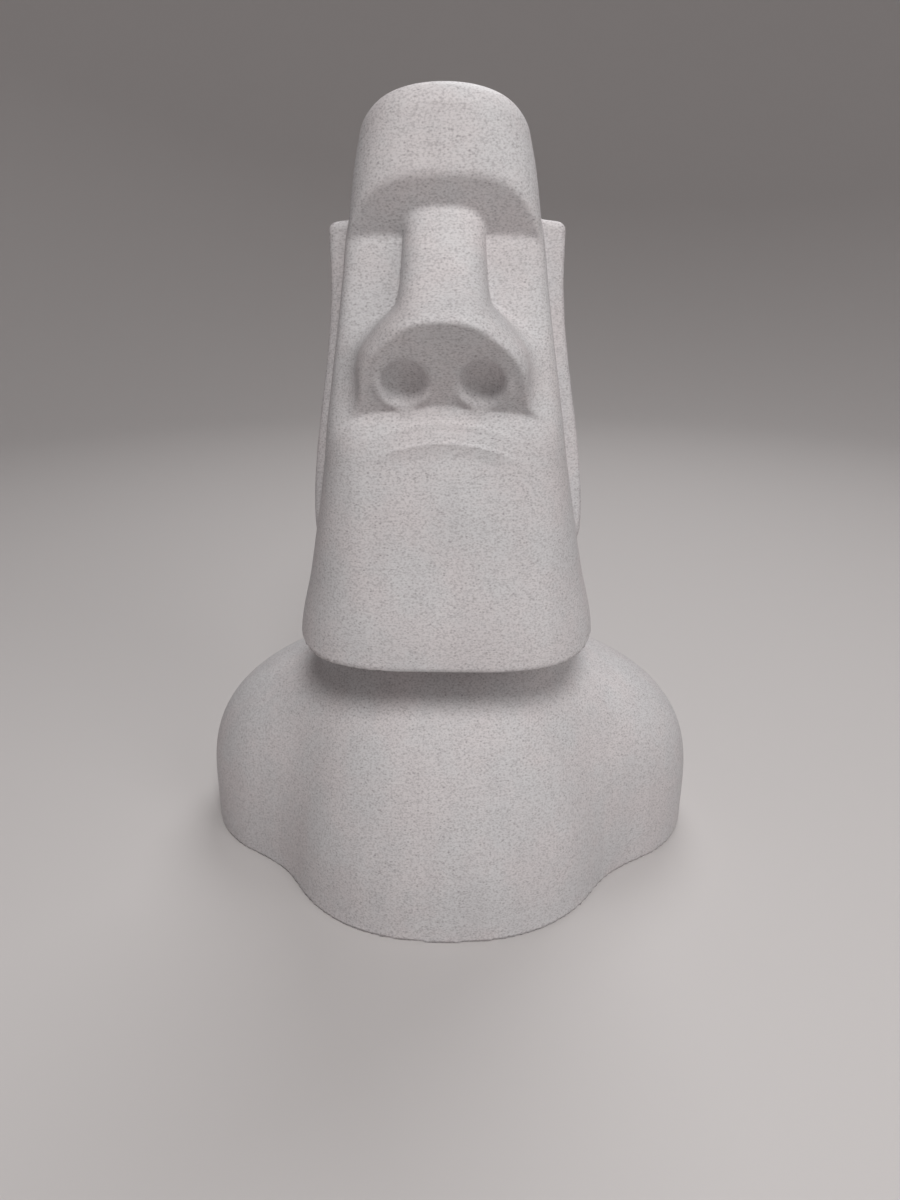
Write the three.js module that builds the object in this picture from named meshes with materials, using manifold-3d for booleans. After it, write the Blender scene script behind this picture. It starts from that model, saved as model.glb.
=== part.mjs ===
// Moai head statue, one solid piece, in millimetres.
// +Z is up, the face looks along -Y, and the origin is at the middle of the underside.

import * as THREE from 'three';
import Module from 'manifold-3d';

// Overall sizes
const HEIGHT = 400;
const DEPTH = 196;
const SHOULDER_WIDTH = 295;

// Levels above the underside, as shares of the height
const SHOULDER_WAIST = 0.055 * HEIGHT;
const SHOULDER_BEND = 0.18 * HEIGHT;
const SHOULDER_CREST = 0.305 * HEIGHT;
const NECK_LEVEL = 0.3625 * HEIGHT;
const CHIN_LEVEL = 0.5 * HEIGHT;
const NOSE_START = 0.575 * HEIGHT;
const MOUTH_LEVEL = 0.633 * HEIGHT;
const WING_LEVEL = 0.715 * HEIGHT;
const NOSE_TIP_LEVEL = 0.7475 * HEIGHT;
const BRIDGE_LEVEL = 0.82 * HEIGHT;
const EYE_LEVEL = 0.8525 * HEIGHT;
const NOSE_END = 0.8875 * HEIGHT;

// Head widths
const JAW_WIDTH = 158;
const CHIN_WIDTH = 135;
const MOUTH_WIDTH = 115.4;
const NOSE_TIP_WIDTH = 100.4;
const EYE_WIDTH = 88.8;
const CROWN_WIDTH = 68;

// How far the head reaches forward and back of the origin
const JAW_FRONT = 75;
const CHIN_FRONT = 64;
const MOUTH_FRONT = 56.5;
const NOSE_TIP_FRONT = 44;
const EYE_FRONT = 36.5;
const BROW_FRONT = 54.5;
const CROWN_FRONT = 51.5;
const JAW_BACK = 70;
const EYE_BACK = 61;
const CROWN_BACK = 54;
const HEAD_MIDDLE = 8;
const BROW_MIDDLE = -12;
const BROW_SEAM = 1.5;
const SOFFIT_SLOPE = 1.42;
const JAW_ROUNDING = 2;
const JAW_SLOPE = 0.06;
const CROWN_ROUNDING = 9;
const CROWN_FALL = 7;

// Nose
const WING_WIDTH = 78;
const BRIDGE_WIDTH = 38;
const NOSE_REACH = 84;
const BRIDGE_REACH = 58.5;
const NOSE_MIDDLE = -48;
const NOSE_END_MIDDLE = -26;
const NOSE_ROOT = 10;
const UNDER_NOSE_RISE = 11.4;
const UNDER_NOSE_SLOPE = 1.25;
const NOSTRIL_SPACING = 34.8;
const NOSTRIL_RADIUS = 9.8;
const NOSTRIL_LENGTH = 12.5;
const NOSTRIL_DEPTH = 8;
const NOSTRIL_SETBACK = 23.2;

// Mouth
const LIP_WIDTH = 72;
const LIP_BEND = 8.5;
const LIP_RELIEF = 1.5;
const LIP_STEP = 5;
const LIP_FADE = 26;

// Ears
const EAR_TOP = 349;
const EAR_BOTTOM = 188;
const EAR_FRONT = 0.6;
const EAR_DEPTH = 34;
const EAR_TOP_SPREAD = 114.6;
const EAR_BOTTOM_SPREAD = 144;
const EAR_TOP_FALL = 3;
const EAR_ROUNDING = 10;
const EAR_BEVEL = 2;
const EAR_ROOT = 30;

// Neck, chest and shoulder lobes
const NECK_WIDTH = 122;
const NECK_FRONT = 26;
const NECK_BACK = 72;
const NECK_SINK = 18;
const CHEST_WIDTH = 195.6;
const CHEST_FRONT = 98;
const CHEST_BACK = DEPTH - CHEST_FRONT;
const CHEST_MIDDLE = 8;
const LOBE_WIDTH = 119;
const LOBE_DEPTH = 128;
const LOBE_MIDDLE = 31;
const VALLEY_BLEND = 24;

// How square the sections are: 2 is an ellipse, larger is squarer
const CHEST_SQUARENESS = 2.3;
const LOBE_SQUARENESS = 2;
const SHOULDER_SQUARENESS = 3;
const JAW_SQUARENESS = 3.2;
const CHEEK_SQUARENESS = 6;
const EYE_SQUARENESS = 12;
const BROW_SQUARENESS = 3.6;
const CROWN_SQUARENESS = 2.8;
const HEAD_BACK_SQUARENESS = 3;
const NOSE_SQUARENESS = 2.6;
const BRIDGE_SQUARENESS = 3;
const EAR_SQUARENESS = 10;

// Facet counts
const TORSO_STEPS = 76;
const HEAD_STEPS_A_SIDE = 14;
const NOSE_STEPS_A_SIDE = 7;
const EAR_STEPS_A_SIDE = 3;

const material = new THREE.MeshStandardMaterial({ color: 0xc4c0c3, roughness: 0.62, metalness: 0 });

// The size or level part of the way from one to another
function between(from, to, share) {
  return from + (to - from) * share;
}

// [level, value] pairs from one pair to another, through stations that are shares of the way
function stretch(from, to, ...shares) {
  return [
    from,
    ...shares.map(([up, along]) => [between(from[0], to[0], up), between(from[1], to[1], along)]),
    to,
  ];
}

// A smooth curve through rising [level, value] pairs that never overshoots them
function profile(...stretches) {
  const pairs = stretches.flat().filter((pair, i, all) => i === 0 || pair[0] > all[i - 1][0]);
  const last = pairs.length - 1;
  const rise = [];
  for (let i = 0; i < last; i += 1) {
    rise.push((pairs[i + 1][1] - pairs[i][1]) / (pairs[i + 1][0] - pairs[i][0]));
  }
  const slope = pairs.map((pair, i) => {
    if (i === 0 || i === last) {
      return rise[Math.min(i, last - 1)];
    }
    if (rise[i - 1] * rise[i] <= 0) {
      return 0;
    }
    return (2 * rise[i - 1] * rise[i]) / (rise[i - 1] + rise[i]);
  });
  return (level) => {
    const z = Math.min(Math.max(level, pairs[0][0]), pairs[last][0]);
    let i = 0;
    while (i < last - 1 && z > pairs[i + 1][0]) {
      i += 1;
    }
    const span = pairs[i + 1][0] - pairs[i][0];
    const t = (z - pairs[i][0]) / span;
    const s = 1 - t;
    return (1 + 2 * t) * s * s * pairs[i][1] + t * s * s * span * slope[i]
      + t * t * (3 - 2 * t) * pairs[i + 1][1] - t * t * s * span * slope[i + 1];
  };
}

// Evenly spaced levels from one height to another
function levels(from, to, steps) {
  return Array.from({ length: steps + 1 }, (_, i) => from + ((to - from) * i) / steps);
}

function ramp(t) {
  const u = Math.min(Math.max(t, 0), 1);
  return u * u * (3 - 2 * u);
}

// Points around a rounded rectangle, with one point on each of its corners
function ring(section, stepsASide) {
  const points = [];
  for (let side = 0; side < 4; side += 1) {
    for (let i = 0; i < stepsASide; i += 1) {
      const along = (2 * i) / stepsASide - 1;
      const square = [[along, -1], [1, along], [-along, 1], [-1, -along]][side];
      const n = square[1] < 0 ? section.squareness : (section.backSquareness ?? section.squareness);
      const scale = (Math.abs(square[0]) ** n + Math.abs(square[1]) ** n) ** (-1 / n);
      const reach = square[1] < 0 ? section.front : section.back;
      const middle = square[1] < 0 ? section.middle : (section.backMiddle ?? section.middle);
      points.push([
        (section.across ?? 0) + square[0] * scale * section.halfWidth,
        middle + square[1] * scale * reach,
      ]);
    }
  }
  return points;
}

// A closed skin over rings of [x, y, z] points, from the lowest ring to the highest
function skin(rings, peak) {
  const count = rings[0].length;
  const corners = [];
  const faces = [];
  for (const points of rings) {
    corners.push(...points.flat());
  }
  for (let row = 0; row < rings.length - 1; row += 1) {
    for (let i = 0; i < count; i += 1) {
      const a = row * count + i;
      const b = row * count + ((i + 1) % count);
      faces.push(a, b, b + count, a, b + count, a + count);
    }
  }
  for (const [row, upward] of [[0, false], [rings.length - 1, true]]) {
    const middle = corners.length / 3;
    for (let axis = 0; axis < 3; axis += 1) {
      corners.push(rings[row].reduce((sum, point) => sum + point[axis], 0) / count);
    }
    for (let i = 0; i < count; i += 1) {
      const a = row * count + i;
      const b = row * count + ((i + 1) % count);
      faces.push(...(upward ? [middle, a, b] : [middle, b, a]));
    }
  }
  if (peak !== undefined) {
    corners[corners.length - 1] = peak;
  }
  return { corners, faces };
}

// Torso: a chest and two shoulder lobes that run into each other in soft valleys
const chestHalf = profile(
  stretch([0, CHEST_WIDTH / 2], [NECK_LEVEL, NECK_WIDTH / 2], [0.28, 0.09], [0.69, 0.48], [0.9, 0.84]),
  [[CHIN_LEVEL, 0.46 * NECK_WIDTH]],
);
const chestFront = profile(
  stretch([0, CHEST_FRONT], [NECK_LEVEL, NECK_FRONT], [0.2, 0.056], [0.45, 0.23], [0.62, 0.43],
    [0.76, 0.66], [0.9, 0.89]),
  [[CHIN_LEVEL, 0.84 * NECK_FRONT]],
);
const chestBack = profile(
  stretch([0, CHEST_BACK], [NECK_LEVEL, NECK_BACK], [0.41, 0.154], [0.69, 0.423], [0.9, 0.77]),
  [[CHIN_LEVEL, 0.78 * NECK_BACK]],
);
const lobeHalf = profile(
  stretch([0, LOBE_WIDTH / 2], [CHIN_LEVEL, LOBE_WIDTH / 4], [0.3, 0.09], [0.5, 0.49], [0.65, 0.83]),
);
const lobeDeep = profile(
  stretch([0, LOBE_DEPTH / 2], [CHIN_LEVEL, 0.3 * LOBE_DEPTH], [0.3, 0.08], [0.5, 0.55], [0.65, 0.9]),
);
const neckHalf = profile(stretch([SHOULDER_BEND, 0.607 * NECK_WIDTH], [CHIN_LEVEL, 0.36 * NECK_WIDTH]));

// The shoulder's outline from the front: upright at its foot, rounding over to run into the neck
function lobeOuter(z) {
  const rise = Math.min(Math.max(z - SHOULDER_WAIST, 0) / (SHOULDER_CREST - SHOULDER_WAIST), 1);
  const shoulder = (SHOULDER_WIDTH / 2) * Math.sqrt(1 - rise ** SHOULDER_SQUARENESS);
  return -softMin(-shoulder, -neckHalf(z), VALLEY_BLEND);
}

// How far a point is outside a rounded section, negative inside
function outside(x, y, halfWidth, reach, squareness) {
  const n = squareness;
  const size = ((Math.abs(x) / halfWidth) ** n + (Math.abs(y) / reach) ** n) ** (1 / n);
  return (size - 1) * Math.min(halfWidth, reach);
}

function softMin(a, b, blend) {
  const near = Math.max(blend - Math.abs(a - b), 0) / blend;
  return Math.min(a, b) - (near * near * blend) / 4;
}

function outsideTorso(x, y, z) {
  const reach = y < CHEST_MIDDLE ? CHEST_MIDDLE + chestFront(z) : chestBack(z) - CHEST_MIDDLE;
  const chest = outside(x, y - CHEST_MIDDLE, chestHalf(z), reach, CHEST_SQUARENESS);
  const half = lobeHalf(z);
  const lobe = outside(Math.abs(x) - lobeOuter(z) + half, y - LOBE_MIDDLE, half, lobeDeep(z), LOBE_SQUARENESS);
  return softMin(chest, lobe, VALLEY_BLEND);
}

// The torso's outline at one level, found by halving along a ray from the middle at each angle
function torsoRing(z) {
  return Array.from({ length: TORSO_STEPS }, (_, i) => {
    const angle = (2 * Math.PI * (i + 0.5)) / TORSO_STEPS - Math.PI / 2;
    let inner = 0;
    let outer = SHOULDER_WIDTH;
    for (let halving = 0; halving < 30; halving += 1) {
      const r = (inner + outer) / 2;
      if (outsideTorso(r * Math.cos(angle), CHEST_MIDDLE + r * Math.sin(angle), z) > 0) {
        outer = r;
      } else {
        inner = r;
      }
    }
    return [inner * Math.cos(angle), CHEST_MIDDLE + inner * Math.sin(angle), z];
  });
}

const torso = skin([
  ...levels(0, SHOULDER_BEND, 6),
  ...levels(SHOULDER_BEND, NECK_LEVEL, 11).slice(1),
  NECK_LEVEL + NECK_SINK,
].map(torsoRing));

// Head: its plan at each level, flat and square across the eyes and rounder at the jaw
const headHalf = profile(
  stretch([NECK_LEVEL, JAW_WIDTH / 2], [CHIN_LEVEL, CHIN_WIDTH / 2], [0.2, 0.15], [0.58, 0.59]),
  stretch([CHIN_LEVEL, CHIN_WIDTH / 2], [MOUTH_LEVEL, MOUTH_WIDTH / 2], [0.47, 0.5]),
  [[NOSE_TIP_LEVEL, NOSE_TIP_WIDTH / 2]],
  stretch([EYE_LEVEL, EYE_WIDTH / 2], [HEIGHT, CROWN_WIDTH / 2], [0.46, 0.35], [0.73, 0.69]),
);
const faceFront = profile(
  stretch([NECK_LEVEL, JAW_FRONT], [CHIN_LEVEL, CHIN_FRONT], [0.27, 0.18]),
  stretch([MOUTH_LEVEL, MOUTH_FRONT], [NOSE_TIP_LEVEL, NOSE_TIP_FRONT], [0.48, 0.5]),
  stretch([NOSE_TIP_LEVEL, NOSE_TIP_FRONT], [EYE_LEVEL, EYE_FRONT], [0.62, 0.75]),
);
const headBack = profile(
  stretch([NECK_LEVEL, JAW_BACK], [EYE_LEVEL, EYE_BACK], [0.69, 0.44]),
  [[HEIGHT, CROWN_BACK]],
);
const faceSquareness = profile(
  stretch([NECK_LEVEL, JAW_SQUARENESS], [MOUTH_LEVEL, CHEEK_SQUARENESS],
    [0.3, 0.07], [0.55, 0.29], [0.85, 0.5]),
  stretch([MOUTH_LEVEL, CHEEK_SQUARENESS], [EYE_LEVEL, EYE_SQUARENESS], [0.42, 0.67]),
);
const browSquareness = profile(
  stretch([EYE_LEVEL, BROW_SQUARENESS], [HEIGHT, CROWN_SQUARENESS], [0.46, 0.2]),
);
const browFront = profile(stretch([EYE_LEVEL, BROW_FRONT], [HEIGHT, CROWN_FRONT], [0.41, 0.29]));

function headSection(z, front, squareness, inset, middle = HEAD_MIDDLE) {
  return {
    halfWidth: headHalf(z) - inset,
    front: middle + front - inset,
    back: headBack(z) - HEAD_MIDDLE - inset,
    middle,
    backMiddle: HEAD_MIDDLE,
    squareness,
    backSquareness: HEAD_BACK_SQUARENESS,
  };
}

// The mouth line bends down to its ends, and the face below it is set back and swells out again.
// The jaw's lower edge rises towards the back.
function faceRing(z, inset = 0, lift = 0) {
  const section = headSection(z, faceFront(z), faceSquareness(z), inset);
  const below = MOUTH_LEVEL - z;
  const setBack = LIP_RELIEF * ramp(below / LIP_STEP) * (1 - ramp((below - LIP_STEP) / LIP_FADE));
  const nearMouth = 1 - ramp(Math.abs(below) / LIP_FADE);
  const nearJaw = 1 - ramp((z - NECK_LEVEL) / (CHIN_LEVEL - NECK_LEVEL));
  return ring(section, HEAD_STEPS_A_SIDE).map(([x, y]) => {
    const aside = Math.min(Math.abs(x) / (LIP_WIDTH / 2), 1);
    const facing = y < 0 ? 1 - ramp(2 * aside - 1) : 0;
    const bend = y < 0 ? LIP_BEND * aside ** 2 * nearMouth : 0;
    const rise = JAW_SLOPE * Math.max(y + CHIN_FRONT, 0) * nearJaw;
    return [x, y + setBack * facing, z + lift + rise - bend];
  });
}

// Above the eyes the soffit slopes up and forward to the brow's lower edge
function browEdge(y) {
  return EYE_LEVEL + Math.max(SOFFIT_SLOPE * (-EYE_FRONT - y), BROW_SEAM);
}

// How far the crown's dome falls away to the sides
function crownFall(x) {
  return CROWN_FALL * (x / (CROWN_WIDTH / 2)) ** 2;
}

function browRing(share) {
  const top = HEIGHT - CROWN_ROUNDING;
  const z = EYE_LEVEL + (top - EYE_LEVEL) * share;
  const section = headSection(z, browFront(z), browSquareness(z), 0, BROW_MIDDLE);
  return ring(section, HEAD_STEPS_A_SIDE).map(([x, y]) => {
    const edge = browEdge(y);
    return [x, y, edge + (top - crownFall(x) - edge) * share];
  });
}

// The rim of the crown rounds over into a low dome that falls to the sides
function crownRing(turn, size = 1) {
  const inset = CROWN_ROUNDING * (1 - Math.cos(turn));
  const z = HEIGHT - CROWN_ROUNDING * (1 - Math.sin(turn));
  const section = headSection(z, browFront(z), browSquareness(z), inset, BROW_MIDDLE);
  return ring(section, HEAD_STEPS_A_SIDE).map(([x, y]) => [
    x * size, HEAD_MIDDLE + (y - HEAD_MIDDLE) * size, z - crownFall(x * size),
  ]);
}

const jawTurns = levels(0, Math.PI / 2, 3).slice(0, -1);
const head = skin([
  ...jawTurns.map((turn) => faceRing(
    NECK_LEVEL + JAW_ROUNDING * (1 - Math.cos(turn)), JAW_ROUNDING * (1 - Math.sin(turn)))),
  ...levels(NECK_LEVEL + JAW_ROUNDING, MOUTH_LEVEL - 3 * LIP_STEP, 7).map((z) => faceRing(z)),
  ...levels(MOUTH_LEVEL - 2 * LIP_STEP, MOUTH_LEVEL + LIP_STEP, 3).map((z) => faceRing(z)),
  ...levels(MOUTH_LEVEL + 3 * LIP_STEP, EYE_LEVEL, 6).map((z) => faceRing(z)),
  ...levels(0, 1, 5).map(browRing),
  ...levels(0, Math.PI / 2, 4).slice(1).map((turn) => crownRing(turn)),
  ...[2 / 3, 1 / 3].map((size) => crownRing(Math.PI / 2, size)),
], HEIGHT);

// Nose: a narrow bridge that flares to the wings, cut off underneath by a sloping plane
const noseHalf = profile(
  stretch([NOSE_START, 0.45 * WING_WIDTH], [WING_LEVEL, WING_WIDTH / 2], [0.61, 0.35], [0.84, 0.85]),
  stretch([WING_LEVEL, WING_WIDTH / 2], [BRIDGE_LEVEL, BRIDGE_WIDTH / 2], [0.17, 0.06], [0.43, 0.425],
    [0.69, 0.91]),
  [[NOSE_END, 0.48 * BRIDGE_WIDTH]],
);
const noseFront = profile(
  [[NOSE_START, NOSE_REACH]],
  stretch([between(NOSE_TIP_LEVEL, BRIDGE_LEVEL, 0.2), NOSE_REACH], [BRIDGE_LEVEL, BRIDGE_REACH],
    [0.26, 0.12], [0.57, 0.51]),
  stretch([BRIDGE_LEVEL, BRIDGE_REACH], [NOSE_END, 0.75 * BRIDGE_REACH], [0.48, 0.58]),
);
const noseSquareness = profile(stretch([NOSE_TIP_LEVEL, NOSE_SQUARENESS], [EYE_LEVEL, BRIDGE_SQUARENESS]));
const noseMiddle = profile(stretch([NOSE_TIP_LEVEL, NOSE_MIDDLE], [NOSE_END, NOSE_END_MIDDLE], [0.55, 0.6]));
const noseSkin = skin([
  ...levels(NOSE_START, WING_LEVEL, 5),
  ...levels(WING_LEVEL, BRIDGE_LEVEL, 9).slice(1),
  ...levels(BRIDGE_LEVEL, NOSE_END, 4).slice(1),
].map((z) => ring({
  halfWidth: noseHalf(z),
  front: noseFront(z) + noseMiddle(z),
  back: NOSE_ROOT - noseMiddle(z),
  middle: noseMiddle(z),
  squareness: noseSquareness(z),
}, NOSE_STEPS_A_SIDE).map(([x, y]) => [x, y, z])));

// The cutting block under the nose: its upper face slopes down and back from the tip
const UNDER_TIP_LEVEL = NOSE_TIP_LEVEL + UNDER_NOSE_RISE;
const UNDER_ANGLE = Math.atan(UNDER_NOSE_SLOPE);
const BLOCK = 2 * NOSE_REACH;
const underNose = new THREE.BoxGeometry(BLOCK, BLOCK, BLOCK);
underNose.translate(0, 0, -BLOCK / 2);
underNose.rotateX(-UNDER_ANGLE);
underNose.translate(0, -NOSE_REACH, UNDER_TIP_LEVEL);

// A nostril: a shallow oval dimple in the sloping underside
function nostril(side) {
  const dimple = new THREE.SphereGeometry(1, 18, 10);
  dimple.scale(NOSTRIL_RADIUS, NOSTRIL_LENGTH, NOSTRIL_DEPTH);
  dimple.rotateX(-UNDER_ANGLE);
  const level = UNDER_TIP_LEVEL - NOSTRIL_SETBACK * UNDER_NOSE_SLOPE;
  dimple.translate((side * NOSTRIL_SPACING) / 2, NOSTRIL_SETBACK - NOSE_REACH, level);
  return dimple;
}

// Ears: long upright slabs whose outer faces bow in at the eyes and swing out along the jaw
function earOut(z) {
  const swing = ramp((z - CHIN_LEVEL) / (BRIDGE_LEVEL - CHIN_LEVEL));
  return between(EAR_BOTTOM_SPREAD, EAR_TOP_SPREAD, swing) / 2;
}

function earRing(side, z, shorten) {
  const section = {
    across: (side * (earOut(z) + EAR_ROOT)) / 2,
    halfWidth: (earOut(z) - EAR_ROOT) / 2,
    front: EAR_DEPTH / 2 - shorten,
    back: EAR_DEPTH / 2 - shorten,
    middle: EAR_FRONT + EAR_DEPTH / 2,
    squareness: EAR_SQUARENESS,
  };
  const rise = (z - EAR_BOTTOM) / (EAR_TOP - EAR_BOTTOM);
  return ring(section, EAR_STEPS_A_SIDE).map(([x, y]) => {
    const outward = (Math.abs(x) - EAR_ROOT) / (earOut(z) - EAR_ROOT);
    return [x, y, z - EAR_TOP_FALL * outward * rise ** 4];
  });
}

function ear(side) {
  const r = EAR_ROUNDING;
  const lower = levels(0, Math.PI / 2, 4).map((turn) => [
    EAR_BOTTOM + r * (1 - Math.cos(turn)), r * (1 - Math.sin(turn)),
  ]);
  const middle = levels(EAR_BOTTOM + 2 * r, EAR_TOP - r, 8).map((z) => [z, 0]);
  const upper = [[EAR_TOP - EAR_BEVEL, 0], [EAR_TOP, EAR_BEVEL]];
  return skin([...lower, ...middle, ...upper].map(([z, shorten]) => earRing(side, z, shorten)));
}

// Solids joined into one body
const wasm = await Module();
wasm.setup();

function solidFromLists(corners, faces) {
  return new wasm.Manifold(new wasm.Mesh({
    numProp: 3,
    vertProperties: new Float32Array(corners),
    triVerts: new Uint32Array(faces),
  }));
}

function solidFromGeometry(geometry) {
  const position = geometry.getAttribute('position');
  const corners = [];
  const found = new Map();
  const shared = [];
  for (let i = 0; i < position.count; i += 1) {
    const point = [position.getX(i), position.getY(i), position.getZ(i)];
    const key = point.map((value) => Math.round(value * 1000)).join(' ');
    if (!found.has(key)) {
      found.set(key, corners.length / 3);
      corners.push(...point);
    }
    shared.push(found.get(key));
  }
  const faces = [];
  for (let i = 0; i < geometry.index.count; i += 3) {
    const [a, b, c] = [0, 1, 2].map((k) => shared[geometry.index.getX(i + k)]);
    if (a !== b && b !== c && c !== a) {
      faces.push(a, b, c);
    }
  }
  return solidFromLists(corners, faces);
}

function solidFromSkin({ corners, faces }) {
  return solidFromLists(corners, faces);
}

let statue = solidFromSkin(torso).add(solidFromSkin(head));
statue = statue.add(solidFromSkin(noseSkin).subtract(solidFromGeometry(underNose)));
for (const side of [-1, 1]) {
  statue = statue.add(solidFromSkin(ear(side)));
  statue = statue.subtract(solidFromGeometry(nostril(side)));
}

const joined = statue.getMesh();
const geometry = new THREE.BufferGeometry();
geometry.setAttribute('position', new THREE.BufferAttribute(new Float32Array(joined.vertProperties), 3));
geometry.setIndex(new THREE.BufferAttribute(new Uint32Array(joined.triVerts), 1));
geometry.computeVertexNormals();

const mesh = new THREE.Mesh(geometry, material);
mesh.name = 'moai_statue';

const object = new THREE.Group();
object.name = 'moai_head_statue';
object.add(mesh);

export default object;
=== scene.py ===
"""A moai head statue printed in one piece in stone-look plastic, on a pale floor in soft light."""

import math

import bpy
import numpy as np
from mathutils import Matrix, Vector


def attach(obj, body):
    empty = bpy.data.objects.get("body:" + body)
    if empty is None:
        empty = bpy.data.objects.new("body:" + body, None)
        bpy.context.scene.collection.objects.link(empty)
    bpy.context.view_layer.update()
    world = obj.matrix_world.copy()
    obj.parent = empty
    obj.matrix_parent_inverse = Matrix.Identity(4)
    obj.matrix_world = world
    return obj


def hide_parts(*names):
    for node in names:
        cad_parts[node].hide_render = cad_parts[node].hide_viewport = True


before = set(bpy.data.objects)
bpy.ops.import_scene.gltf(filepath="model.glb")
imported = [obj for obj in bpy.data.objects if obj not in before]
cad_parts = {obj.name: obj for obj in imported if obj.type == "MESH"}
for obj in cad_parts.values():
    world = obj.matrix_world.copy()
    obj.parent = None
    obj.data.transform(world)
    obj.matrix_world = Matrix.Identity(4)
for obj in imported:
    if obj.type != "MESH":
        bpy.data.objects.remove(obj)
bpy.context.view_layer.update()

# Sizes of the statue in millimetres, +Z up, the face looking along -Y
MM = 0.001
HEIGHT = 400.0
JAW_LEVEL = 145.0
MOUTH_LEVEL = 253.2
EYE_LEVEL = 341.0
EYE_FRONT = -36.5
EYE_HALF = 44.4


# Smooth curves and blends
def profile(*stations):
    """A curve through (level, value) stations that never overshoots them."""
    levels, values = (np.array(column, float) for column in zip(*stations))
    span = np.diff(levels)
    rise = np.diff(values) / span
    slope = np.concatenate([rise[:1], rise])
    for i in range(1, len(levels) - 1):
        same_way = rise[i - 1] * rise[i] > 0
        slope[i] = 2 * rise[i - 1] * rise[i] / (rise[i - 1] + rise[i]) if same_way else 0.0

    def at(z):
        z = np.clip(z, levels[0], levels[-1])
        i = np.clip(np.searchsorted(levels, z, side="right") - 1, 0, len(span) - 1)
        t = (z - levels[i]) / span[i]
        s = 1 - t
        return ((1 + 2 * t) * s * s * values[i] + t * s * s * span[i] * slope[i]
                + t * t * (3 - 2 * t) * values[i + 1] - t * t * s * span[i] * slope[i + 1])

    return at


def ramp(t):
    t = np.clip(t, 0, 1)
    return t * t * (3 - 2 * t)


def join(a, b, blend):
    """The union of two shapes with a soft fillet between them."""
    near = np.maximum(blend - np.abs(a - b), 0) / blend
    return np.minimum(a, b) - near * near * blend / 4


def cut(a, b, blend):
    """What two shapes share, with a soft edge between them."""
    return -join(-a, -b, blend)


def rounded_cut(a, b, radius):
    """What two shapes share, with the edge between them rounded at a radius."""
    corner = np.hypot(np.maximum(a + radius, 0), np.maximum(b + radius, 0))
    return np.minimum(np.maximum(a, b), -radius) + corner


def oval(x, y, half, front, back, front_middle, back_middle, squareness):
    """About how far a point is outside a level section: one superellipse in front, one behind."""
    ahead = y < front_middle
    reach = np.where(ahead, front_middle - front, back - back_middle)
    u = np.abs(x) / half
    v = np.where(ahead, front_middle - y, np.maximum(y - back_middle, 0)) / reach
    n = squareness
    size = (u ** n + v ** n) ** (1 / n)
    flat = np.hypot(u ** (n - 1) / half, v ** (n - 1) / reach) / np.maximum(size, 1e-3) ** (n - 1)
    return (size - 1) / np.maximum(flat, 1e-4)


def plain_oval(x, y, half, reach, squareness):
    """About how far a point is outside a level superellipse."""
    size = ((np.abs(x) / half) ** squareness + (np.abs(y) / reach) ** squareness) ** (1 / squareness)
    return (size - 1) * np.minimum(half, reach)


# Torso: a chest and two shoulder lobes that run into each other in soft valleys
lobe_half = profile((0, 59.5), (60, 57), (100, 45), (130, 35), (200, 29.8))
lobe_deep = profile((0, 64), (60, 62), (100, 50), (130, 41), (200, 38.4))
chest_half = profile((0, 97.8), (40, 94.5), (100, 80), (130, 67), (145, 61), (200, 56))
chest_front = profile((0, 98), (30, 94), (65, 81.5), (90, 67), (110, 50.5), (130, 34), (145, 26),
                      (200, 22))
chest_back = profile((0, 98), (60, 94), (100, 87), (130, 78), (145, 72), (200, 56))
LOBE_MIDDLE = 31.2
LOBE_SQUARENESS = 2.0
CHEST_MIDDLE = 8.0
CHEST_SQUARENESS = 2.3
VALLEY_BLEND = 24.0
TORSO_TOP = 200.0
TORSO_TOP_BLEND = 10.0
SHOULDER_HALF = 147.5
SHOULDER_WAIST = 22.0
SHOULDER_CREST = 122.0
neck_half = profile((72, 74), (200, 44))


def lobe_outer(z):
    """The shoulder's outline from the front: upright at its foot, rounding over to run into the neck."""
    rise = np.clip((z - SHOULDER_WAIST) / (SHOULDER_CREST - SHOULDER_WAIST), 0, 1)
    shoulder = SHOULDER_HALF * np.sqrt(1 - rise ** 3)
    return -join(-shoulder, -neck_half(z), VALLEY_BLEND)


def torso(x, y, z):
    reach = np.where(y < CHEST_MIDDLE, CHEST_MIDDLE + chest_front(z), chest_back(z) - CHEST_MIDDLE)
    chest = plain_oval(x, y - CHEST_MIDDLE, chest_half(z), reach, CHEST_SQUARENESS)
    half = lobe_half(z)
    across = np.abs(x) - lobe_outer(z) + half
    lobe = plain_oval(across, y - LOBE_MIDDLE, half, lobe_deep(z), LOBE_SQUARENESS)
    return cut(join(chest, lobe, VALLEY_BLEND), z - TORSO_TOP, TORSO_TOP_BLEND)


# Head: its plan at each level, flat and square across the eyes and rounder at the jaw and crown
head_half = profile((145, 79), (156, 77.3), (177, 72.2), (200, 67.5), (225, 62.6), (253, 57.7),
                    (299, 50.2), (EYE_LEVEL, EYE_HALF), (368, 40.6), (384, 37.2), (400, 34))
head_back = profile((145, 70), (280, 66), (341, 61), (400, 54))
face_front = profile((145, -75), (160, -73), (200, -64), (253, -56.5), (275, -49.5), (299, -44.0),
                     (325, -38.5), (EYE_LEVEL, EYE_FRONT), (352, -31), (400, -26))
face_squareness = profile((145, 3.2), (177, 3.4), (205, 4.0), (237, 4.6), (262, 7), (290, 10),
                          (341, 12), (350, 4))
brow_front = profile((341, -54.5), (365, -53.5), (400, -51.5))
brow_squareness = profile((341, 3.6), (368, 3.4), (400, 2.8))
HEAD_MIDDLE = 8.0
BROW_MIDDLE = -12.0
BACK_SQUARENESS = 3.0
SOFFIT_SLOPE = 1.42
BROW_BLEND = 1.6
JAW_SLOPE = 0.06
JAW_SLOPE_FRONT = -60.0
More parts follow.
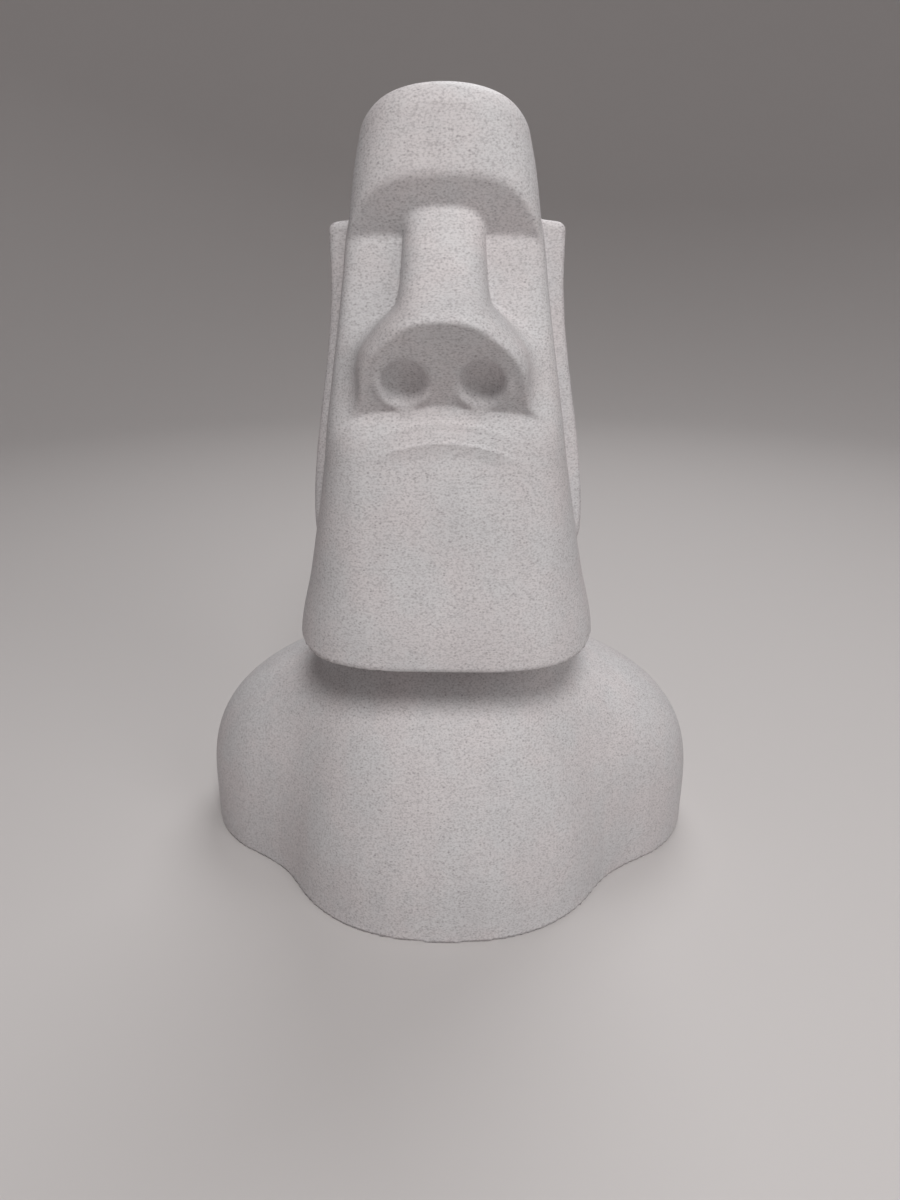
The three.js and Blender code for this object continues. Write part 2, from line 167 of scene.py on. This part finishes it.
JAW_ROUNDING = 2.0
CROWN_DOME = 0.006
CROWN_ROUNDING = 9.0
NECK_BLEND = 8.0

# Mouth: its width, how far its ends droop, and the ridges and the hollow in it
MOUTH_HALF = 27.0
MOUTH_DROOP = 4.8
MOUTH_FULL_HALF = 18.0
MOUTH_FADE = 24.0
LOWER_RIDGE = 0.5
LOWER_RIDGE_WIDTH = 1.0
UPPER_RIDGE = 0.35
UPPER_RIDGE_WIDTH = 1.3
RIDGE_SPACING = 8.5
HOLLOW_DEPTH = 1.2
HOLLOW_LEAD = 7.0
HOLLOW_FADE = 26.0


def lips(x, z):
    """How far the mouth stands out: two fine ridges, and a soft hollow under the lower one."""
    mouth = MOUTH_LEVEL - MOUTH_DROOP * (x / MOUTH_HALF) ** 2
    wide = 1 - ramp((np.abs(x) - MOUTH_FULL_HALF) / MOUTH_FADE)
    below = mouth - z
    hollow = HOLLOW_DEPTH * ramp(below / HOLLOW_LEAD) * (1 - ramp((below - HOLLOW_LEAD) / HOLLOW_FADE))
    lower = LOWER_RIDGE * np.exp(-(below / LOWER_RIDGE_WIDTH) ** 2)
    upper = UPPER_RIDGE * np.exp(-((below + RIDGE_SPACING) / UPPER_RIDGE_WIDTH) ** 2)
    return (lower + upper - hollow) * wide


def face(x, y, z):
    squareness = np.where(y < HEAD_MIDDLE, face_squareness(z), BACK_SQUARENESS)
    forward = y + lips(x, z) * ramp(-y / 10)
    return oval(x, forward, head_half(z), face_front(z), head_back(z), HEAD_MIDDLE, HEAD_MIDDLE, squareness)


def brow(x, y, z):
    squareness = np.where(y < BROW_MIDDLE, brow_squareness(z), BACK_SQUARENESS)
    block = oval(x, y, head_half(z), brow_front(z), head_back(z), BROW_MIDDLE, HEAD_MIDDLE, squareness)
    soffit = (EYE_LEVEL - SOFFIT_SLOPE * (y - EYE_FRONT) - z) / math.hypot(1, SOFFIT_SLOPE)
    return cut(block, soffit, BROW_BLEND)


# Nose: a narrow bridge that flares to the wings, cut off by a sloping underside with two dimples in it
nose_half = profile((230, 35), (264, 36.4), (277, 38.4), (286, 39), (293, 37.8), (304, 30.5),
                    (315, 20.8), (328, 19), (355, 18.2))
nose_front = profile((230, -84), (305, -84), (311, -81), (318, -71), (328, -58.5), (341, -50),
                     (355, -44))
nose_middle = profile((299, -48), (330, -35), (355, -26))
nose_squareness = profile((299, 2.6), (320, 2.9), (341, 3))
NOSE_BACK = 10.0
BRIDGE_FILLET = 1.2
WING_FILLET = 14.2
FILLET_TOP = 318.0
FILLET_GROWTH = 24.0
UNDER_EDGE = 1.8
UNDER_LEVEL = 309.2
UNDER_FRONT = -83.0
UNDER_SLOPE = 1.25
UNDER_BEND = 0.0038
NOSTRIL = (17.4, -60.8, 281.3)
NOSTRIL_RADII = (9.8, 12.5, 8.0)
NOSTRIL_BLEND = 3.5
RIM_HEIGHT = 1.6
RIM_RADIUS = 1.2
RIM_WIDTH = 0.2
RIM_DEPTH = 0.8


def nose(x, y, z, cheeks):
    """The nose, its fillet to the cheeks growing from the bridge down to the wings."""
    middle = nose_middle(z)
    block = oval(x, y, nose_half(z), nose_front(z), NOSE_BACK, middle, middle, nose_squareness(z))
    growth = ramp((FILLET_TOP - z) / FILLET_GROWTH)
    flare = join(block, cheeks, BRIDGE_FILLET + (WING_FILLET - BRIDGE_FILLET) * growth)
    under_level = UNDER_LEVEL - UNDER_SLOPE * (y - UNDER_FRONT) - UNDER_BEND * x * x
    return cut(flare, (under_level - z) / math.hypot(1, UNDER_SLOPE), UNDER_EDGE)


def nostrils(x, y, z):
    """How far a point is outside the dimple, and how far the rim round its lower side stands out."""
    cosine = 1 / math.hypot(1, UNDER_SLOPE)
    sine = UNDER_SLOPE * cosine
    across = (np.abs(x) - NOSTRIL[0]) / NOSTRIL_RADII[0]
    ahead = y - NOSTRIL[1]
    above = z - NOSTRIL[2]
    along = (above * sine - ahead * cosine) / NOSTRIL_RADII[1]
    inward = (above * cosine + ahead * sine) / NOSTRIL_RADII[2]
    size = np.sqrt(across ** 2 + along ** 2 + inward ** 2)
    lower_side = ramp(0.25 - along + 0.35 * across)
    off_rim = (np.hypot(across, along) - RIM_RADIUS) / RIM_WIDTH
    rim = RIM_HEIGHT * np.exp(-off_rim ** 2 - (inward / RIM_DEPTH) ** 2) * lower_side
    return (size - 1) * NOSTRIL_RADII[2], rim


# Ears: long upright slabs whose outer faces bow in at the eyes and swing out along the jaw
EAR_TOP = 349.0
EAR_BOTTOM = 188.0
EAR_FRONT = 0.6
EAR_DEPTH = 34.0
EAR_OUT_LOW = 72.0
EAR_OUT_HIGH = 57.3
EAR_SWING = (200.0, 328.0)
EAR_EDGE = 3.0
EAR_LOWER_EDGE = 9.0
EAR_TOP_FALL = 0.12
EAR_FACE_EDGE = 5.0
EAR_BLEND = 2.5


def ear_out(z):
    rise = ramp((z - EAR_SWING[0]) / (EAR_SWING[1] - EAR_SWING[0]))
    return EAR_OUT_LOW - (EAR_OUT_LOW - EAR_OUT_HIGH) * rise


def rounded_box(across, along, half_across, half_along, radius):
    a = np.abs(across) - half_across + radius
    b = np.abs(along) - half_along + radius
    return np.hypot(np.maximum(a, 0), np.maximum(b, 0)) + np.minimum(np.maximum(a, b), 0) - radius


def ear(x, y, z):
    """One slab through the head for both ears, its top falling a little towards the outside."""
    middle_level = (EAR_TOP + EAR_BOTTOM) / 2
    radius = EAR_EDGE + (EAR_LOWER_EDGE - EAR_EDGE) * ramp((middle_level - z) / 40)
    falling = EAR_TOP_FALL * np.maximum(np.abs(x) - EYE_HALF, 0) * ramp((z - 290) / 60)
    across = y - EAR_FRONT - EAR_DEPTH / 2
    along = z + falling - middle_level
    plate = rounded_box(across, along, EAR_DEPTH / 2, EAR_TOP - middle_level, radius)
    return cut(plate, np.abs(x) - ear_out(z), EAR_FACE_EDGE)


# The whole statue, with a small edge all round its foot
FOOT_EDGE = 1.2


def statue(x, y, z):
    """About how far a point is outside the statue in millimetres, negative inside."""
    cheeks = face(x, y, z)
    head = join(cheeks, nose(x, y, z, cheeks), BRIDGE_FILLET)
    dimple, rim = nostrils(x, y, z)
    head = cut(head, -dimple, NOSTRIL_BLEND) - rim
    head = join(head, brow(x, y, z), BROW_BLEND)
    head = rounded_cut(head, z - HEIGHT + CROWN_DOME * x * x, CROWN_ROUNDING)
    jaw = JAW_LEVEL + JAW_SLOPE * np.maximum(y - JAW_SLOPE_FRONT, 0)
    head = rounded_cut(head, jaw - z, JAW_ROUNDING)
    head = join(head, ear(x, y, z), EAR_BLEND)
    return cut(join(torso(x, y, z), head, NECK_BLEND), -z, FOOT_EDGE)


# The fine surface: a grid finer at the face, one point in each cell that the surface passes through
COARSE_CELL = 3.4
CELL_GROWTH = 25.0
SLICES_AT_ONCE = 8
SETTLING_ROUNDS = 4
LONGEST_MOVE = 0.8

# Each way: where the grid starts and stops, between which places it is fine, and its fine cell
GRID_ACROSS = (0, 152, 0, 46, 1.5)
GRID_DEEP = (-102, 104, -90, -22, 1.4)
GRID_UP = (-3, 405, 205, 400, 1.4)


def spacing(start, stop, fine_from, fine_to, fine):
    """Grid lines from start to stop, close between two places and wider away from them."""
    lines = [start]
    while lines[-1] < stop:
        place = lines[-1]
        away = max(fine_from - place, place - fine_to, 0)
        lines.append(place + fine + (COARSE_CELL - fine) * min(away / CELL_GROWTH, 1))
    return np.array(lines)


def slope(x, y, z, step=0.05):
    """The direction straight out of the surface at each point, and the steepness of the field there."""
    rise = np.stack([
        statue(x + step, y, z) - statue(x - step, y, z),
        statue(x, y + step, z) - statue(x, y - step, z),
        statue(x, y, z + step) - statue(x, y, z - step),
    ], axis=-1) / (2 * step)
    steepness = np.maximum(np.linalg.norm(rise, axis=-1, keepdims=True), 1e-6)
    return rise / steepness, steepness[..., 0]


def cell_points(values, inside, corner):
    """In each cell the middle of its crossed edges, and the number of each cell's point."""
    shape = tuple(n - 1 for n in inside.shape)
    total = np.zeros(shape + (3,))
    count = np.zeros(shape)
    for axis in range(3):
        low = [slice(None)] * 3
        high = [slice(None)] * 3
        low[axis] = slice(0, -1)
        high[axis] = slice(1, None)
        low = tuple(low)
        high = tuple(high)
        crossed = inside[low] != inside[high]
        share = np.where(crossed, values[low] / np.where(crossed, values[low] - values[high], 1), 0)
        place = [c[low] + share * (c[high] - c[low]) for c in corner]
        others = [a for a in range(3) if a != axis]
        for first in (0, 1):
            for second in (0, 1):
                part = [slice(None)] * 3
                part[others[0]] = slice(first, first + shape[others[0]])
                part[others[1]] = slice(second, second + shape[others[1]])
                part = tuple(part)
                here = crossed[part]
                count += here
                for k in range(3):
                    total[..., k] += np.where(here, place[k][part], 0)
    used = count > 0
    number = np.full(shape, -1)
    number[used] = np.arange(used.sum())
    return total[used] / count[used][:, None], number


def cell_quads(inside, number):
    """A quad across each crossed edge of the grid, through the points of the four cells around it."""
    quads = []
    for axis in range(3):
        low = [slice(1, -1)] * 3
        high = [slice(1, -1)] * 3
        low[axis] = slice(0, -1)
        high[axis] = slice(1, None)
        starts = inside[tuple(low)]
        ends = inside[tuple(high)]
        i, j, k = np.nonzero(starts != ends)
        leaving = starts[i, j, k]
        cell = np.stack([i, j, k], axis=-1)
        others = [a for a in range(3) if a != axis]
        cell[:, others] += 1
        step_a = np.zeros(3, int)
        step_b = np.zeros(3, int)
        step_a[(axis + 1) % 3] = 1
        step_b[(axis + 2) % 3] = 1
        loop = [cell - step_a - step_b, cell - step_b, cell, cell - step_a]
        quad = np.stack([number[tuple(c.T)] for c in loop], axis=-1)
        quads.append(np.where(leaving[:, None], quad, quad[:, ::-1]))
    return np.concatenate(quads)


def fine_surface():
    """Points, quads and outward directions of the statue's skin."""
    half_lines = spacing(*GRID_ACROSS)
    xs = np.concatenate([-half_lines[:0:-1], half_lines])
    grid = np.meshgrid(xs, spacing(*GRID_DEEP), spacing(*GRID_UP), indexing="ij")
    values = np.concatenate([
        statue(*(place[i:i + SLICES_AT_ONCE] for place in grid)) for i in range(0, len(xs), SLICES_AT_ONCE)
    ])
    inside = values < 0
    points, number = cell_points(values, inside, grid)
    quads = cell_quads(inside, number)
    for _ in range(SETTLING_ROUNDS):
        outward, steepness = slope(*points.T)
        away = np.clip(statue(*points.T) / steepness, -LONGEST_MOVE, LONGEST_MOVE)
        points -= outward * away[:, None]
    outward, _ = slope(*points.T, step=0.25)
    return points, quads, outward


def build_statue():
    points, quads, outward = fine_surface()
    skin = bpy.data.meshes.new("moai_statue_skin")
    skin.vertices.add(len(points))
    skin.vertices.foreach_set("co", (points * MM).ravel())
    skin.loops.add(quads.size)
    skin.loops.foreach_set("vertex_index", quads.ravel())
    skin.polygons.add(len(quads))
    skin.polygons.foreach_set("loop_start", np.arange(0, quads.size, 4))
    skin.update(calc_edges=True)
    skin.validate()
    skin.shade_smooth()
    skin.normals_split_custom_set_from_vertices([tuple(n) for n in outward])
    piece = bpy.data.objects.new("moai_statue_fine", skin)
    bpy.context.scene.collection.objects.link(piece)
    return piece


# Materials
class Nodes:
    """Short calls for building a node material."""

    def __init__(self, name):
        self.material = bpy.data.materials.new(name)
        self.material.use_nodes = True
        self.tree = self.material.node_tree
        self.tree.nodes.clear()

    def add(self, kind, settings=None, **inputs):
        node = self.tree.nodes.new(kind)
        for key, value in (settings or {}).items():
            setattr(node, key, value)
        for key, value in inputs.items():
            self.give(node.inputs[key.replace("_", " ")], value)
        return node

    def give(self, socket, value):
        """Link another node's output to a socket, or set it to a plain value."""
        if isinstance(value, bpy.types.NodeSocket):
            self.tree.links.new(value, socket)
        else:
            socket.default_value = value

    def math(self, operation, a, b):
        node = self.add("ShaderNodeMath", {"operation": operation})
        for socket, value in zip(node.inputs, (a, b)):
            self.give(socket, value)
        return node.outputs[0]

    def between(self, value, low, high, to_low=0.0, to_high=1.0):
        """A soft step from one value to another while the input goes from low to high."""
        node = self.add("ShaderNodeMapRange", {"interpolation_type": "SMOOTHSTEP"}, Value=value,
                        From_Min=low, From_Max=high, To_Min=to_low, To_Max=to_high)
        return node.outputs["Result"]

    def mix(self, share, a, b):
        node = self.add("ShaderNodeMix", {"data_type": "RGBA"})
        shown = [socket for socket in node.inputs if socket.enabled]
        for socket, value in zip(shown, (share, a, b)):
            self.give(socket, value)
        return [socket for socket in node.outputs if socket.enabled][0]


# Colours of the stone-look plastic, and the sizes of its grain in millimetres
WARM_GREY = (0.655, 0.622, 0.626, 1)
COOL_GREY = (0.630, 0.624, 0.632, 1)
SPECK_GREY = (0.215, 0.195, 0.205, 1)
# Darker grey of the print layers, also used for the upright streaks of painted shade
LAYER_AND_PAINTED_SHADE_GREY = (0.470, 0.445, 0.455, 1)
DUST_SIZE = 0.95
SMALL_SPECK = 1.3
LARGE_SPECK = 2.1
SPECK_STRETCH = (1.3, 1.3, 0.85)
LAYER_HEIGHT = 0.45
# Width of the upright streaks of painted shade that stand in for the shading of vertical facets
PAINTED_SHADE_WIDTH = 13.0
CLOUD_SIZE = 32.0

# How strongly each of them shows, and how the surface shines
PAINTED_SHADE_SHARE = 0.16
LAYER_SHARE = 0.12
DUST_SHARE = 0.42
SMALL_SHARE = 0.46
LARGE_SHARE = 0.62
SMOOTHEST = 0.54
ROUGHEST = 0.72
SHINE = 0.4
BUMP_STRENGTH = 0.3
BUMP_DEPTH = 0.0003


def sized(nodes, millimetres, size, stretch):
    """The place in the statue counted in spots of that size, drawn out along an axis by its stretch."""
    scale = tuple(size * share for share in stretch)
    node = nodes.add("ShaderNodeMapping", {"vector_type": "TEXTURE"}, Vector=millimetres, Scale=scale)
    return node.outputs["Vector"]


def noise(nodes, millimetres, size, stretch=(1.0, 1.0, 1.0), detail=2.0):
    """Soft noise with spots of about that size in millimetres."""
    place = sized(nodes, millimetres, size, stretch)
    node = nodes.add("ShaderNodeTexNoise", Vector=place, Scale=1.0, Detail=detail, Roughness=0.6)
    return node.outputs["Fac"]


def specks(nodes, millimetres, size, radius, present):
    """Dark grains a little wider than tall: one to a cell of that size, some cells empty, none alike."""
    place = sized(nodes, millimetres, size, SPECK_STRETCH)
    cells = nodes.add("ShaderNodeTexVoronoi", {"feature": "F1"}, Vector=place, Scale=1.0, Randomness=1.0)
    chance = nodes.add("ShaderNodeSeparateColor", Color=cells.outputs["Color"])
    grain = nodes.between(cells.outputs["Distance"], 0.25 * radius, radius, 1.0, 0.0)
    shown = nodes.between(chance.outputs[0], present, present + 0.1, 1.0, 0.0)
    depth = nodes.between(chance.outputs[1], 0.0, 1.0, 0.25, 1.0)
    return nodes.math("MULTIPLY", nodes.math("MULTIPLY", grain, shown), depth)


def stone_look():
    """Light grey plastic with dark specks, fine dust, soft clouds and level print layers, and upright
    streaks of painted shade that stand in for the shading of narrow vertical facets.
    """
    nodes = Nodes("stone_look_plastic")
    place = nodes.add("ShaderNodeTexCoord").outputs["Object"]
    scaled = nodes.add("ShaderNodeVectorMath", {"operation": "SCALE"}, Vector=place, Scale=1 / MM)
    millimetres = scaled.outputs[0]
    dust = noise(nodes, millimetres, DUST_SIZE, (1.2, 1.2, 0.8), 3.0)
    cloud = noise(nodes, millimetres, CLOUD_SIZE, detail=4.0)
    # Painted shade: tall narrow streaks that stand in for the shading of vertical facets
    painted_facet_shade = noise(nodes, millimetres, PAINTED_SHADE_WIDTH, (1.0, 1.0, 14.0))
    layers = noise(nodes, millimetres, LAYER_HEIGHT, (60.0, 60.0, 1.0))
    small = specks(nodes, millimetres, SMALL_SPECK, 0.50, 0.65)
    large = specks(nodes, millimetres, LARGE_SPECK, 0.30, 0.35)

    colour = nodes.mix(nodes.between(cloud, 0.35, 0.65), WARM_GREY, COOL_GREY)
    # Painted shade: the upright streaks darken the colour, standing in for the shading of vertical facets
    colour = nodes.mix(nodes.between(painted_facet_shade, 0.3, 0.7, 0.0, PAINTED_SHADE_SHARE), colour, LAYER_AND_PAINTED_SHADE_GREY)
    colour = nodes.mix(nodes.between(layers, 0.3, 0.7, 0.0, LAYER_SHARE), colour, LAYER_AND_PAINTED_SHADE_GREY)
    colour = nodes.mix(nodes.between(dust, 0.42, 0.70, 0.0, DUST_SHARE), colour, SPECK_GREY)
    colour = nodes.mix(nodes.math("MULTIPLY", small, SMALL_SHARE), colour, SPECK_GREY)
    colour = nodes.mix(nodes.math("MULTIPLY", large, LARGE_SHARE), colour, SPECK_GREY)

    height = nodes.math("ADD", nodes.math("MULTIPLY", layers, 0.65), nodes.math("MULTIPLY", dust, 0.35))
    bump = nodes.add("ShaderNodeBump", Height=height, Strength=BUMP_STRENGTH, Distance=BUMP_DEPTH)
    unevenness = nodes.math("ADD", layers, nodes.math("MULTIPLY", small, 0.3))
    roughness = nodes.between(unevenness, 0.25, 0.85, SMOOTHEST, ROUGHEST)
    shader = nodes.add("ShaderNodeBsdfPrincipled", Base_Color=colour, Roughness=roughness,
                       Normal=bump.outputs[0], Specular_IOR_Level=SHINE)
    nodes.add("ShaderNodeOutputMaterial", Surface=shader.outputs[0])
    return nodes.material


def plain(name, colour, roughness):
    nodes = Nodes(name)
    shader = nodes.add("ShaderNodeBsdfPrincipled", Base_Color=(*colour, 1), Roughness=roughness)
    nodes.add("ShaderNodeOutputMaterial", Surface=shader.outputs[0])
    return nodes.material


# Camera: close in front at eye level, looking down, as the photograph was taken
CAMERA_PLACE = (0.0138, -0.4600, 0.3388)
CAMERA_HEADING = math.radians(1.54)
CAMERA_PITCH = math.radians(21.94)
CAMERA_ROLL = math.radians(-0.05)
FOCAL_LENGTH = 26.66
FILM_LONG_SIDE = 36.0


def add_camera():
    lens = bpy.data.cameras.new("camera")
    lens.sensor_width = FILM_LONG_SIDE
    lens.lens = FOCAL_LENGTH
    lens.clip_start = 0.01
    camera = bpy.data.objects.new("camera", lens)
    bpy.context.scene.collection.objects.link(camera)
    heading = Matrix.Rotation(CAMERA_HEADING, 4, "Z")
    pitch = Matrix.Rotation(math.pi / 2 - CAMERA_PITCH, 4, "X")
    roll = Matrix.Rotation(CAMERA_ROLL, 4, "Z")
    camera.matrix_world = Matrix.Translation(Vector(CAMERA_PLACE)) @ heading @ pitch @ roll
    bpy.context.scene.camera = camera


# Light: a soft source high in front, a weaker one low on the right, one behind for the top, and a dim room
LIT_PLACE = (0.0, 0.0, 0.2)
LAMP_WHITE = (1.0, 0.99, 0.98)
ROOM_COLOUR = (0.82, 0.76, 0.76, 1)
ROOM_STRENGTH = 0.20


def add_area(name, azimuth, height, distance, size, power, colour=(1, 1, 1)):
    """A round soft light, its azimuth and height in degrees: azimuth 0 in front, 90 on the right."""
    target = Vector(LIT_PLACE)
    turn = math.radians(azimuth)
    rise = math.radians(height)
    away = Vector((math.sin(turn) * math.cos(rise), -math.cos(turn) * math.cos(rise), math.sin(rise)))
    light = bpy.data.lights.new(name, "AREA")
    light.shape = "DISK"
    light.size = size
    light.energy = power
    light.color = colour
    lamp = bpy.data.objects.new(name, light)
    bpy.context.scene.collection.objects.link(lamp)
    facing = away.to_track_quat("Z", "Y").to_matrix().to_4x4()
    lamp.matrix_world = Matrix.Translation(target + away * distance) @ facing


def add_light():
    add_area("key", 8, 49, 1.5, 0.5, 12.6, LAMP_WHITE)
    add_area("side", 45, 30, 1.6, 0.8, 4.2, LAMP_WHITE)
    add_area("top", 165, 55, 1.5, 0.9, 9.0)
    world = bpy.data.worlds.new("room")
    world.use_nodes = True
    background = world.node_tree.nodes["Background"]
    background.inputs["Color"].default_value = ROOM_COLOUR
    background.inputs["Strength"].default_value = ROOM_STRENGTH
    bpy.context.scene.world = world


# Floor: a pale round floor that curves up into a low wall well away from the statue, in metres
FLOOR_GREY = (0.58, 0.558, 0.553)
FLOOR_ROUGHNESS = 0.85
CENTRE_RADIUS = 0.001
FLAT_RADIUS = 1.4
BEND_RADIUS = 1.1
WALL_HEIGHT = 1.7
BEND_STEPS = 24
TURN_STEPS = 96


def add_floor():
    line = [(CENTRE_RADIUS, 0.0)]
    for i in range(BEND_STEPS + 1):
        rise = math.pi / 2 * i / BEND_STEPS
        line.append((FLAT_RADIUS + BEND_RADIUS * math.sin(rise), BEND_RADIUS * (1 - math.cos(rise))))
    line.append((FLAT_RADIUS + BEND_RADIUS, WALL_HEIGHT))
    turns = [2 * math.pi * k / TURN_STEPS for k in range(TURN_STEPS)]
    points = [(r * math.cos(turn), r * math.sin(turn), z) for r, z in line for turn in turns]
    faces = []
    for i in range(len(line) - 1):
        inner = i * TURN_STEPS
        outer = inner + TURN_STEPS
        for k in range(TURN_STEPS):
            following = (k + 1) % TURN_STEPS
            faces.append((inner + k, outer + k, outer + following, inner + following))
    faces.append(tuple(range(TURN_STEPS)))
    mesh = bpy.data.meshes.new("floor")
    mesh.from_pydata(points, [], faces)
    mesh.shade_smooth()
    mesh.materials.append(plain("floor", FLOOR_GREY, FLOOR_ROUGHNESS))
    floor = bpy.data.objects.new("floor", mesh)
    bpy.context.scene.collection.objects.link(floor)


bpy.context.scene.view_settings.view_transform = "Standard"

piece = build_statue()
piece.data.materials.append(stone_look())
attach(piece, "root")
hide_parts("moai_statue")

add_camera()
add_light()
add_floor()
